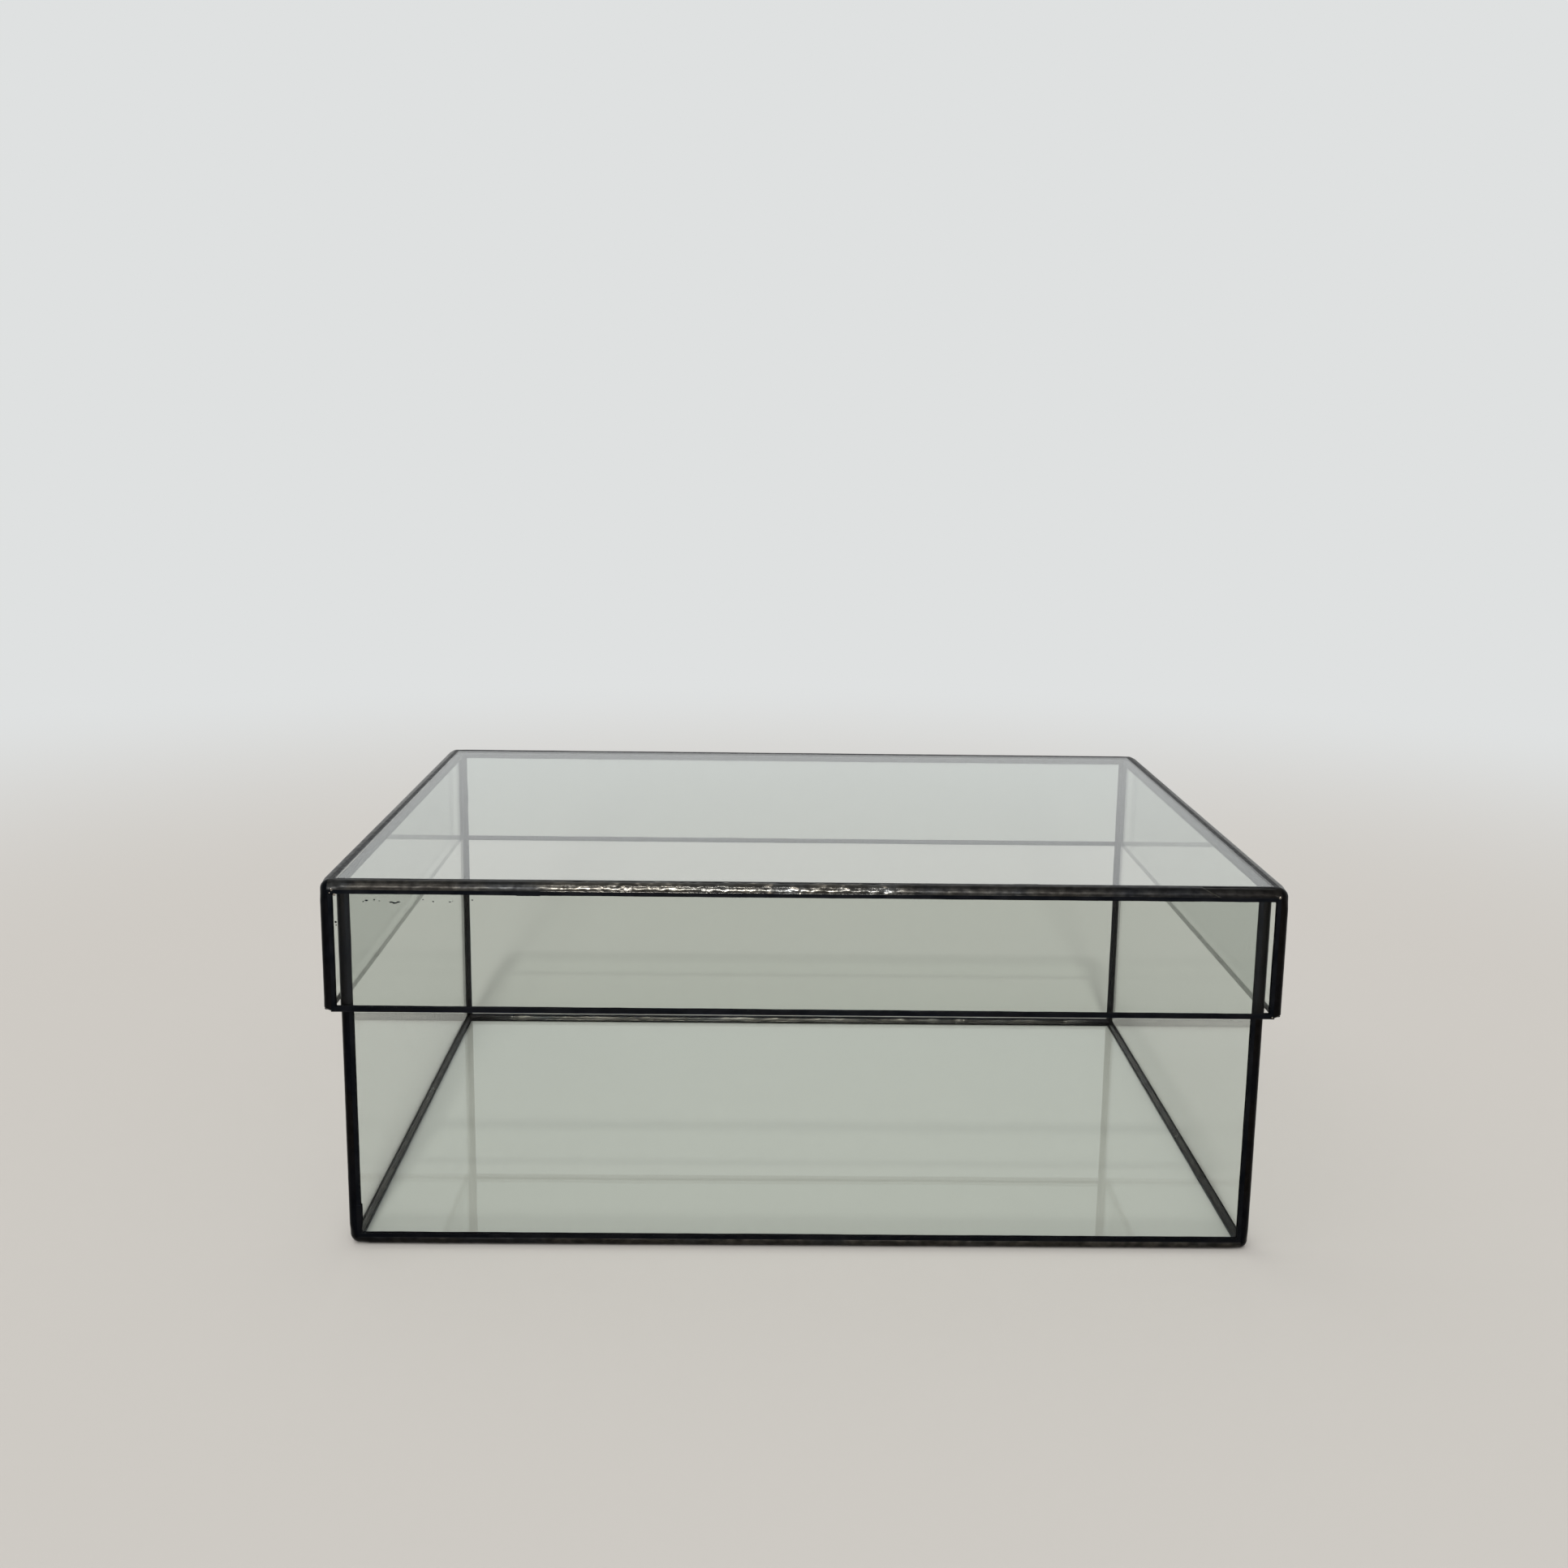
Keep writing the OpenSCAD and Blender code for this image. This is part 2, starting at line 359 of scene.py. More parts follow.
# %% Carry the foil's section round a pane
def outline_stations(half_u, half_v, marks):
    """Points round a rectangle with the way inwards at each, mitred at the corners.

    The third value is how freely the lap may wander there: 0 near a corner and 1 away from it.
    Each mark, a distance run, gets a point just before it and one just after it.
    """
    clear_of_mitre = LAP * 1.6
    loosening = 3 * SPACING
    beside_mark = 0.05 * MM
    corners = [(-half_u, -half_v), (half_u, -half_v), (half_u, half_v), (-half_u, half_v)]
    found, gone = [], 0.0
    for k in range(4):
        a, b = Vector(corners[k]), Vector(corners[(k + 1) % 4])
        ahead = (b - a).normalized()
        inwards = Vector((-ahead.y, ahead.x))
        found.append((a, inwards + ahead, 0.0))
        first, last = clear_of_mitre, (b - a).length - clear_of_mitre
        steps = max(2, round((last - first) / SPACING))
        runs = [first + (last - first) * i / steps for i in range(steps + 1)]
        runs += [mark - gone + side * beside_mark for mark in marks for side in (-1, 1)]
        for run in sorted(run for run in runs if first <= run <= last):
            free = min(run - first, last - run, loosening) / loosening
            found.append((a + ahead * run, inwards, free))
        gone += (b - a).length
    return found


def foil_section(lap, rise):
    """The U-shaped section of a wrap, as pairs of inset and height, with its edges rounded."""
    half_t = glass_t / 2
    outer = [(lap, half_t - BITE), (lap, half_t + 0.6 * rise), (lap - 0.04 * MM, half_t + rise),
             (-0.4 * FOIL_EDGE, half_t + rise), (-FOIL_EDGE, half_t + 0.2 * rise)]
    below = [(inset, -height) for inset, height in reversed(outer)]
    return outer + below + [(BITE, -half_t + BITE), (BITE, half_t - BITE)]


def wrap_foil(name, pane_name, tuck, trimmed, seed):
    """Make one foil wrap. A tuck is a start and an end, by distance run, and the extra lap there.

    Trimmed is how much narrower the lap gets along the pane's lower edge, from none at one end.
    """
    low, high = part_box(pane_name)
    low, high = Vector(low), Vector(high)
    middle, size = (low + high) / 2, high - low
    thin = min(range(3), key=lambda axis: size[axis])
    across, up = (thin + 1) % 3, (thin + 2) % 3
    tuck_start, tuck_end, tuck_lap = tuck
    lower_edge = 0.01 * MM - size[2] / 2
    # One side of an upright pane is as thin as the glass, so this is its other side.
    width = size.x + size.y - glass_t
    stations = outline_stations(size[across] / 2, size[up] / 2, (tuck_start, tuck_end))
    rings = []
    run, before = 0.0, stations[0][0]
    for spot, inwards, free in stations:
        run += (spot - before).length
        before = spot
        wander = sum(noise.noise(Vector((run / (wave * MM), seed, row))) * depth * MM
                     for wave, depth, row in WANDERS)
        extra, lift = 0.0, 0.0
        if tuck_start < run < tuck_end:
            extra, lift = tuck_lap, TUCK_RISE
        level, along = (spot.x, spot.y) if across == 2 else (spot.y, spot.x)
        if level < lower_edge:
            extra -= trimmed * (0.5 + along / width)
        lap = LAP + free * (wander + extra)
        ring = []
        for inset, height in foil_section(lap, LAP_RISE + free * lift):
            point = Vector((0, 0, 0))
            point[across] = spot.x + inwards.x * inset
            point[up] = spot.y + inwards.y * inset
            point[thin] = height
            ring.append(middle + point)
        rings.append(ring)
    mesh = bmesh.new()
    made = [[mesh.verts.new(p) for p in ring] for ring in rings]
    count = len(made[0])
    for i, ring in enumerate(made):
        following = made[(i + 1) % len(made)]
        for j in range(count):
            k = (j + 1) % count
            mesh.faces.new((ring[j], ring[k], following[k], following[j]))
    bmesh.ops.recalc_face_normals(mesh, faces=mesh.faces)
    piece = to_object(name, mesh, foil)
    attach(piece, "lid" if name.startswith("lid") else "case")
    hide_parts(pane_name.replace("_pane", "_foil"))
    return piece


print("points in a foil section:", len(foil_section(LAP, LAP_RISE)))

# %% Wrap all ten panes
# On the front of the case the strip ends at the foot of the left post.
TUCKS = {"case_front_pane": (0.0, 13.5 * MM, 0.42 * MM)}
# The foil on the front of the lid's hem was set askew, so its lap narrows towards the right.
TRIMMED = {"lid_front_pane": 0.38 * MM}
wraps = []
for number, name in enumerate(sorted(pane_names)):
    low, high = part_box(name)
    longest = max(high[i] - low[i] for i in range(3))
    # On the other panes the strip's ends meet on the first edge or the second.
    start = (0.20 + 0.13 * (number % 5)) * longest
    tuck = TUCKS.get(name, (start, start + 9 * MM, 0.16 * MM))
    trimmed = TRIMMED.get(name, 0.0)
    wraps.append(wrap_foil(name.replace("_pane", "_wrap"), name, tuck, trimmed, seed=3.7 * number))
print("wraps:", len(wraps), "with", sum(len(w.data.polygons) for w in wraps), "faces")

# %% [markdown]
# ## The solder beads
#
# Solder fills the square gap between two foiled edges and freezes as a rounded bead outside and
# a hollow fillet inside. Both follow the seam in a straight line, which is a job for Geometry
# Nodes: a section is carried along a line, and noise then sinks the skin by a few hundredths of
# a millimetre, and by up to a quarter of one on a rough stretch, to give the ripples of hand
# soldering. The ripples only ever sink the skin, so the beads stay inside the size of the object.
# One tree makes every run, and its named inputs give each seam its own length, ripples and
# rubbed stretch, whose lighter patina is partly wear and partly painted sheen.

# %% Build the solder tree
solder_run = bpy.data.node_groups.new("solder_run", "GeometryNodeTree")
sockets = solder_run.interface
sockets.new_socket("Geometry", in_out="OUTPUT", socket_type="NodeSocketGeometry")
sockets.new_socket("Section", in_out="INPUT", socket_type="NodeSocketGeometry")
wanted = {
    "Length": "Float", "Step": "Float", "Start": "Vector", "Turn": "Rotation",
    "Ripple height": "Float", "Ripple length": "Float", "Drift height": "Float",
    "Worn from": "Float", "Worn to": "Float", "Worn ripple": "Float", "Worn share": "Float",
    "Rub": "Float", "Join at": "Float", "Join depth": "Float", "Seed": "Float",
    "Metal": "Material",
}
ids = {}
for label, kind in wanted.items():
    socket = sockets.new_socket(label, in_out="INPUT", socket_type="NodeSocket" + kind)
    ids[label] = socket.identifier
print("inputs:", len(ids))

# %% Sweep the section along its line
tree = solder_run
given = add(tree, "NodeGroupInput").outputs
far = add(tree, "ShaderNodeCombineXYZ", {0: given["Length"]})
line = add(tree, "GeometryNodeCurvePrimitiveLine", {"End": far.outputs[0]})
count = add(tree, "ShaderNodeMath", {
    0: given["Length"], 1: given["Step"]}, operation="DIVIDE")
steps = add(tree, "GeometryNodeResampleCurve", {
    "Curve": line.outputs[0], "Count": count.outputs[0]})
section = add(tree, "GeometryNodeMeshToCurve", {0: given["Section"]})
swept = add(tree, "GeometryNodeCurveToMesh", {
    "Curve": steps.outputs[0], "Profile Curve": section.outputs[0], "Fill Caps": True})
print("nodes so far:", len(tree.nodes))

# %% Work out the ripples and where the run is rubbed and painted with sheen
here = add(tree, "GeometryNodeInputPosition").outputs[0]
local = add(tree, "ShaderNodeSeparateXYZ", {0: here})
share = add(tree, "ShaderNodeMath", {0: local.outputs[0], 1: given["Length"]}, operation="DIVIDE")
# Ripples are drawn out along the run, about twice as long as wide.
drawn = add(tree, "ShaderNodeVectorMath", {0: here, 1: (0.5, 1.0, 1.0)}, operation="MULTIPLY")
fine = add(tree, "ShaderNodeMath", {0: 1.0, 1: given["Ripple length"]}, operation="DIVIDE")
ripples = add(tree, "ShaderNodeTexNoise", {
    "Vector": drawn.outputs[0], "W": given["Seed"], "Scale": fine.outputs[0], "Detail": 2.0,
    "Roughness": 0.45}, noise_dimensions="4D")
swells = add(tree, "ShaderNodeTexNoise", {
    "Vector": here, "W": given["Seed"], "Scale": 1 / (22 * MM), "Detail": 1.0}, noise_dimensions="4D")
crest = add(tree, "ShaderNodeMapRange", {0: ripples.outputs[0], 1: 0.30, 2: 0.70}, clamp=True)
swell = add(tree, "ShaderNodeMapRange", {0: swells.outputs[0], 1: 0.30, 2: 0.70}, clamp=True)
# A rubbed stretch, lightened as wear and as painted sheen, comes in and goes out over 6 % of the run.
opens_at = add(tree, "ShaderNodeMath", {0: given["Worn from"], 1: 0.06}, operation="ADD")
shuts_at = add(tree, "ShaderNodeMath", {0: given["Worn to"], 1: 0.06}, operation="SUBTRACT")
opening = add(tree, "ShaderNodeMapRange", {
    0: share.outputs[0], 1: given["Worn from"], 2: opens_at.outputs[0]},
    interpolation_type="SMOOTHSTEP")
closing = add(tree, "ShaderNodeMapRange", {
    0: share.outputs[0], 1: given["Worn to"], 2: shuts_at.outputs[0]},
    interpolation_type="SMOOTHSTEP")
wear_and_sheen = add(tree, "ShaderNodeMath", {
    0: opening.outputs[0], 1: closing.outputs[0]}, operation="MULTIPLY")
shiny = add(tree, "ShaderNodeMath", {
    0: wear_and_sheen.outputs[0], 1: given["Worn share"]}, operation="MULTIPLY")
# The rub and its painted sheen are weaker at the start of a run than at its end, so the start keeps
# more of its black.
ease = add(tree, "ShaderNodeMapRange", {0: share.outputs[0], 1: 0.0, 2: 0.45, 3: 0.3, 4: 1.0})
rub = add(tree, "ShaderNodeMath", {0: ease.outputs[0], 1: given["Rub"]}, operation="MULTIPLY")
handled_and_sheen = add(tree, "ShaderNodeMath", {
    0: shiny.outputs[0], 1: rub.outputs[0]}, operation="MAXIMUM")
print("nodes so far:", len(tree.nodes))

# %% Add the step where one pass of the iron stopped and the next began
# It leans 6 mm along the run over the bead's 3.1 mm, so it curves over the round bead.
up = add(tree, "ShaderNodeMath", {
    0: local.outputs[2], 1: -6 / 3.1, 2: given["Join at"]}, operation="MULTIPLY_ADD")
past = add(tree, "ShaderNodeMath", {0: up.outputs[0], 1: local.outputs[0]}, operation="SUBTRACT")
sunk = add(tree, "ShaderNodeMapRange", {
    0: past.outputs[0], 1: 0.0, 2: 0.3 * MM}, interpolation_type="SMOOTHSTEP")
join = add(tree, "ShaderNodeMath", {0: sunk.outputs[0], 1: given["Join depth"]}, operation="MULTIPLY")
# A thin line along the lip of the step is lightened as rubbed metal and as a painted highlight on the
# lip.
beside = add(tree, "ShaderNodeMath", {0: past.outputs[0]}, operation="ABSOLUTE")
thin_line = add(tree, "ShaderNodeMapRange", {
    0: beside.outputs[0], 1: 0.1 * MM, 2: 0.4 * MM, 3: 1.0, 4: 0.0})
any_join = add(tree, "ShaderNodeMath", {
    0: given["Join depth"], 1: 0.01 * MM}, operation="GREATER_THAN")
lip_highlight = add(tree, "ShaderNodeMath", {
    0: thin_line.outputs[0], 1: any_join.outputs[0]}, operation="MULTIPLY")
rub_and_sheen = add(tree, "ShaderNodeMath", {
    0: handled_and_sheen.outputs[0], 1: lip_highlight.outputs[0]}, operation="MAXIMUM")
print("nodes so far:", len(tree.nodes))

# %% Sink the skin, fading out at both ends so that runs meet their corners cleanly
more = add(tree, "ShaderNodeMath", {
    0: wear_and_sheen.outputs[0], 1: given["Worn ripple"], 2: given["Ripple height"]},
    operation="MULTIPLY_ADD")
below = add(tree, "ShaderNodeMath", {0: 1.0, 1: crest.outputs[0]}, operation="SUBTRACT")
depth = add(tree, "ShaderNodeMath", {
    0: below.outputs[0], 1: more.outputs[0], 2: join.outputs[0]}, operation="MULTIPLY_ADD")
deeper = add(tree, "ShaderNodeMath", {
    0: swell.outputs[0], 1: given["Drift height"], 2: depth.outputs[0]},
    operation="MULTIPLY_ADD")
left = add(tree, "ShaderNodeMath", {0: given["Length"], 1: local.outputs[0]}, operation="SUBTRACT")
nearest = add(tree, "ShaderNodeMath", {
    0: local.outputs[0], 1: left.outputs[0]}, operation="MINIMUM")
fade = add(tree, "ShaderNodeMapRange", {
    0: nearest.outputs[0], 1: 0.0, 2: 3 * MM}, interpolation_type="SMOOTHSTEP")
# Only points on the open skin move. The section marks them, and the sweep passes the mark on.
open_skin = add(tree, "GeometryNodeInputNamedAttribute", {
    0: "open_skin"}, data_type="FLOAT").outputs[0]
shown = add(tree, "ShaderNodeMath", {0: fade.outputs[0], 1: open_skin}, operation="MULTIPLY")
sink = add(tree, "ShaderNodeMath", {0: deeper.outputs[0], 1: shown.outputs[0]}, operation="MULTIPLY")
inwards = add(tree, "ShaderNodeMath", {0: sink.outputs[0], 1: -1.0}, operation="MULTIPLY")
skin = add(tree, "GeometryNodeInputNormal").outputs[0]
move = add(tree, "ShaderNodeVectorMath", {0: skin, "Scale": inwards.outputs[0]}, operation="SCALE")
print("nodes so far:", len(tree.nodes))

# %% Store the two numbers, sink the skin and set the run in its place
keep_crest = add(tree, "GeometryNodeStoreNamedAttribute", {
    "Geometry": swept.outputs[0], "Name": "crest", "Value": crest.outputs[0]},
    data_type="FLOAT", domain="POINT")
keep_worn = add(tree, "GeometryNodeStoreNamedAttribute", {
    "Geometry": keep_crest.outputs[0], "Name": "wear_and_sheen", "Value": rub_and_sheen.outputs[0]},
    data_type="FLOAT", domain="POINT")
rippled = add(tree, "GeometryNodeSetPosition", {0: keep_worn.outputs[0], "Offset": move.outputs[0]})
smooth = add(tree, "GeometryNodeSetShadeSmooth", {0: rippled.outputs[0]})
placed = add(tree, "GeometryNodeTransform", {
    0: smooth.outputs[0], "Translation": given["Start"], "Rotation": given["Turn"]})
real = add(tree, "GeometryNodeRealizeInstances", {0: placed.outputs[0]})
metal = add(tree, "GeometryNodeSetMaterial", {0: real.outputs[0], "Material": given["Metal"]})
add(tree, "NodeGroupOutput", {0: metal.outputs[0]})
print("nodes in the solder tree:", len(tree.nodes))

# %% [markdown]
# ## The sections of the solder
#
# The outer bead is nearly a quarter round, but fuller, like the corner of a bar of soap. A curve
# between a circle and a square, a superellipse, gives that with one number. Its rim stands a
# hair above the foil, which catches the light as a thin line along the seam. The fillet inside
# is a hollow arc. The bead on a bare rim is a low crown that laps a little over both faces.

# %% Draw the sections
# How full the bead and the crown are: 2 gives a circle, more comes nearer to a square.
FULLNESS = 2.4
CROWN_FULLNESS = 2.6
# How far the bead laps over the foil, and how high the crown stands on a rim.
OVERLAP = 0.34 * MM
CROWN = 0.3 * MM
# The legs of the fillet, how far out its arc is centred, and how deep it reaches into its seam.
FILLET = 1.4 * MM
FILLET_CENTRE = -2.1 * MM
FILLET_ROOT = 0.05 * MM


def bead_loop():
    """The outer bead in the seam's square, starting at the panes' inner corner.

    The third number of each point is 1 on the open skin and 0 where nobody sees it.
    """
    under = square - FOIL_EDGE
    loop = [(BITE, BITE, 0), (under, BITE, 0), (under, -OVERLAP, 0)]
    # The bead's rim on the foil is rounded in two short steps.
    loop += [(square - 0.07 * MM, -OVERLAP, 0), (square - 0.02 * MM, -0.72 * OVERLAP, 0),
             (square, -0.35 * OVERLAP, 1)]
    for i in range(15):
        angle = math.pi / 2 * i / 14
        a, b = math.cos(angle), math.sin(angle)
        size = square / (a ** FULLNESS + b ** FULLNESS) ** (1 / FULLNESS)
        loop.append((size * a, size * b, 1))
    mirrored = [(y, x, shown) for x, y, shown in loop[1:6]]
    return loop + mirrored[::-1]


def fillet_loop():
    """The hollow fillet in the inner corner."""
    centre = FILLET_CENTRE
    radius = math.hypot(centre + FILLET, centre)
    first = math.atan2(-centre, -FILLET - centre)
    last = math.pi / 2 - first
    toe = -FILLET - 0.08 * MM
    loop = [(FILLET_ROOT, FILLET_ROOT, 0), (toe, FILLET_ROOT, 0)]
    for i in range(9):
        angle = first + (last - first) * i / 8
        loop.append((centre + radius * math.cos(angle), centre + radius * math.sin(angle), 1))
    loop.append((FILLET_ROOT, toe, 0))
    return loop


def crown_loop():
    """The low crown on a bare rim, in a frame of outwards and away from the pane."""
    half = square / 2
    inset = 0.1 * MM
    loop = [(-half, -CROWN, 0), (-half + inset, -CROWN, 0),
            (half - inset, -CROWN, 0), (half, -CROWN, 0)]
    for i in range(11):
        angle = math.pi * i / 10
        a, b = math.cos(angle), math.sin(angle)
        size = 1 / (abs(a) ** CROWN_FULLNESS + abs(b) ** CROWN_FULLNESS) ** (1 / CROWN_FULLNESS)
        loop.append((half * size * a, CROWN * size * b, 1))
    return loop


loops = [bead_loop(), fillet_loop(), crown_loop()]
print("points in bead, fillet and crown:", [len(loop) for loop in loops])


# %% Run solder along a seam
def lay_solder(name, loops, start, out_u, out_v, length, step=0.6, ripple=0.03, ripple_length=2.2,
               drift=0.05, wear_and_sheen=(0.0, 0.0), worn_ripple=0.0, worn_share=1.0, rub=0.0,
               join=(0.0, 0.0), seed=0.0):
    """Sweep closed loops along a seam. Sizes of steps, ripples and joins are in millimetres.

    The stretch that is rubbed and painted with sheen is given from and to, as shares of the run.
    Rub is how much the whole run is lightened, as wear and as painted sheen. Join is the place of
    a step in the run and its depth.
    """
    points, shown, lines = [], [], []
    for loop in loops:
        first = len(points)
        points += [(x, y, 0.0) for x, y, open_skin in loop]
        shown += [float(open_skin) for x, y, open_skin in loop]
        lines += [(first + i, first + (i + 1) % len(loop)) for i in range(len(loop))]
    data = bpy.data.meshes.new(name + "_section")
    data.from_pydata(points, lines, [])
    data.attributes.new("open_skin", "FLOAT", "POINT").data.foreach_set("value", shown)
    holder = bpy.data.objects.new(name, data)
    scene.collection.objects.link(holder)
    # A line along X carries the section's X to minus Y and its Y to minus Z.
    ahead = out_u.cross(out_v)
    turn = Matrix((ahead, -out_u, -out_v)).transposed()
    modifier = holder.modifiers.new("solder run", "NODES")
    modifier.node_group = solder_run
    values = {
        "Length": length, "Step": step * MM, "Start": start, "Turn": turn.to_euler(),
        "Ripple height": ripple * MM, "Ripple length": ripple_length * MM,
        "Drift height": drift * MM, "Worn from": wear_and_sheen[0], "Worn to": wear_and_sheen[1],
        "Worn ripple": worn_ripple * MM, "Worn share": worn_share, "Rub": rub,
        "Join at": join[0] * MM, "Join depth": join[1] * MM, "Seed": seed, "Metal": solder,
    }
    for label, value in values.items():
        modifier[ids[label]] = value
    evaluated = holder.evaluated_get(bpy.context.evaluated_depsgraph_get())
    swept_mesh = bpy.data.meshes.new_from_object(evaluated)
    holder.modifiers.remove(modifier)
    holder.data = swept_mesh
    bpy.data.meshes.remove(data)
    swept_mesh.name = name
    return holder


# %% [markdown]
# ## The corners
#
# Where three seams meet, the solder pools into a small blob. It is full like the beads, so that
# its three flat sides run on into them, but more rounded at the very corner, where surface
# tension pulls the hot metal round. Each blob is a ball of points whose distance from the inner
# corner is set by the same superellipse and then eased at the corner. The half that would stand
# inside the glass is pressed flat.

# %% Make a corner blob
# How uneven a blob is at its corner, and how much it keeps of its hidden half.
BLOB_ROUGHNESS = 0.06
BLOB_BACK = 0.3 * MM


def corner_blob(name, corner, outwards, reach, ease, seed):
    """A solder blob at an inner corner, filling the three directions in outwards.

    Ease is how much of the blob is taken off at its outer corner.
    """
    mesh = bmesh.new()
    bmesh.ops.create_icosphere(mesh, subdivisions=5, radius=1.0)
    for vertex in mesh.verts:
        way = vertex.co.normalized()
        full = sum(abs(part) ** FULLNESS for part in way) ** (-1 / FULLNESS)
        # This is 0 on the blob's flat sides and 1 at its outer corner.
        pinch = math.sqrt(27.0) * abs(way.x * way.y * way.z)
        size = full * (1 - ease * pinch)
        wander = noise.noise(way * 2.3 + Vector((seed, 0, 0))) * 0.5 + 0.5
        size *= 1 - BLOB_ROUGHNESS * wander * pinch
        point = Vector((0, 0, 0))
        for axis in range(3):
            stretch = reach[axis] if way[axis] > 0 else BLOB_BACK
            point[axis] = way[axis] * size * stretch * outwards[axis]
        vertex.co = Vector(corner) + point
    bmesh.ops.recalc_face_normals(mesh, faces=mesh.faces)
    for face in mesh.faces:
        face.smooth = True
    return to_object(name, mesh, solder)


def merge(name, parts):
    """Join several pieces of solder into one object."""
    first = parts[0]
    with bpy.context.temp_override(active_object=first, selected_editable_objects=parts):
        bpy.ops.object.join()
    first.name = name
    first.data.name = name
    return first


def round_off(pieces, corner, outwards, radius):
    """Round an outer corner as a ball, and ease the three beads into it over a few millimetres."""
    easing = 5 * MM
    centre = np.array([corner[i] - outwards[i] * (radius - square) for i in range(3)])
    ways = np.array(outwards)
    for piece in pieces:
        count = len(piece.data.vertices)
        points = np.empty(count * 3)
        piece.data.vertices.foreach_get("co", points)
        points = points.reshape(-1, 3)
        out = (points - centre) * ways
        near = np.clip(1 + out / easing, 0.0, 1.0)
        near = near * near * (3 - 2 * near)
        ahead = np.maximum(out, 0.0)
        size = np.linalg.norm(ahead, axis=1)
        pull = np.minimum(1.0, radius / np.maximum(size, 1e-9))
        outside = (out > 0).sum(axis=1)
        # Beside the corner one direction runs back along the bead, and the rounding fades there.
        share = np.where(outside == 2, near.min(axis=1), outside == 3)
        scale = 1 + share * (pull - 1)
        moved = np.where(out > 0, out * scale[:, None], out)
        points = centre + moved * ways
        piece.data.vertices.foreach_set("co", points.ravel())
        piece.data.update()


# %% Directions, middles and inner corners of the two boxes
OUT = {"front": Vector((0, -1, 0)), "right": Vector((1, 0, 0)),
       "back": Vector((0, 1, 0)), "left": Vector((-1, 0, 0))}
AROUND = ["front", "right", "back", "left"]


def box_of(prefix):
    """Where a box lies: its middle, its half sizes to the inner corner and its two ends.

    The ends are the inner level of the closed one and the level of the open one. The last value
    is the way out of the closed end, -1 for down and 1 for up.
    """
    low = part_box(prefix + "_front_left_seam")[0]
    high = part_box(prefix + "_back_right_seam")[1]
    middle = Vector(((low[0] + high[0]) / 2, (low[1] + high[1]) / 2, 0))
    inner_x = (high[0] - low[0]) / 2 - square
    inner_y = (high[1] - low[1]) / 2 - square
    if prefix == "case":
        return middle, inner_x, inner_y, low[2] + square, high[2], -1.0
    return middle, inner_x, inner_y, high[2] - square, low[2], 1.0


for prefix in ("case", "lid"):
    middle, *sizes = box_of(prefix)[:5]
    print(prefix, "middle y", round(middle.y / MM, 2), [round(size / MM, 2) for size in sizes])

# %% [markdown]
# ## Laying every seam
#
# The case and the lid are the same box twice, one standing and one upside down, so one function
# lays the twelve runs of either: four round the closed end, four up the corners and four along
# the open end. A table holds what makes a seam special: the front edge of the lid is lighter
# along its left half, partly rubbed where fingers lift it and partly painted sheen where it
# catches the lamps, and the back seam of the floor is lighter and smoother too, its grey partly
# painted sheen. The other seams round the lid's top and the case's floor are lightened a little,
# a painted sheen for the light they catch, while the posts and rims keep their full black. Each
# box is laid round the z axis and then moved to its middle, since the case stands a little
# further forward than the lid.

# %% What makes some seams special
# The worn stretch and rub lighten a seam's patina: partly wear, and partly painted sheen on seams
# that catch the light.
SPECIAL = {
    "lid_top_front": dict(step=0.35, ripple=0.04, drift=0.09, wear_and_sheen=(0.36, 0.81), worn_ripple=0.16,
                          ripple_length=1.5, rub=0.42, join=(24.0, 0.16)),
    "lid_top_right": dict(rub=0.85),
    "lid_top_left": dict(rub=0.85),
    "lid_top_back": dict(rub=0.6),
    "base_back": dict(wear_and_sheen=(0.02, 0.98), worn_ripple=0.26, worn_share=0.9, ripple_length=3.2),
    "base_left": dict(rub=0.9),
    "base_right": dict(rub=0.9),
    "base_front": dict(ripple=0.04, drift=0.10, rub=0.55),
}
# How far each corner is rounded, in millimetres, named by the side that follows it.
ROUND = {"case_front": 3.95, "lid_front": 3.7, "lid_right": 3.9}
USUAL_ROUND = 3.6
# The upright seam between each wall and the one before it.
POST = {"front": "front_left", "right": "front_right", "back": "back_right", "left": "back_left"}
# How long the rounded tip of an upright seam is.
TIP = {"case": 0.8 * MM, "lid": 1.6 * MM}
print("seams with something special:", len(SPECIAL))


